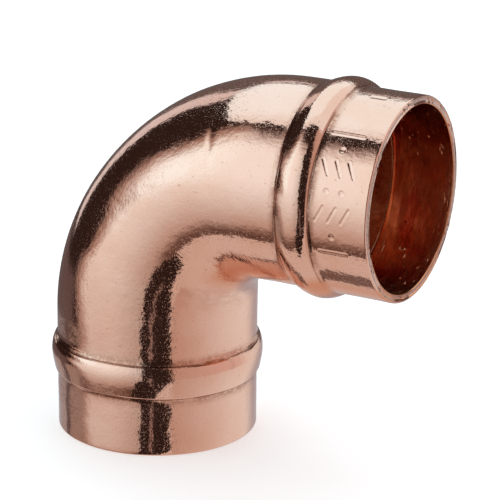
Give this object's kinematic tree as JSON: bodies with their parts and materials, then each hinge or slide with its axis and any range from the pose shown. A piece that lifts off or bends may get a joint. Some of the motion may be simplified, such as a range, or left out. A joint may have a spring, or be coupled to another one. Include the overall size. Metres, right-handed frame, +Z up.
{
  "type": "pipe elbow",
  "caption": "Right-angle copper pipe elbow with a socket at each end and a swollen bead round each socket that holds a ring of solder.",
  "frame": {"origin": "middle of the lower socket's mouth, in the plane of its rim", "axes": "+Z up along the lower leg, +X outwards along the upper leg, and the elbow is symmetrical about the plane y = 0"},
  "size_m": [0.0319, 0.0178, 0.0319],
  "materials": {
    "copper": "polished copper",
    "solder": "dull tin solder"
  },
  "bodies": {
    "root": {"elbow_body": "copper", "lower_solder_ring": "solder", "upper_solder_ring": "solder"}
  },
  "joints": []
}
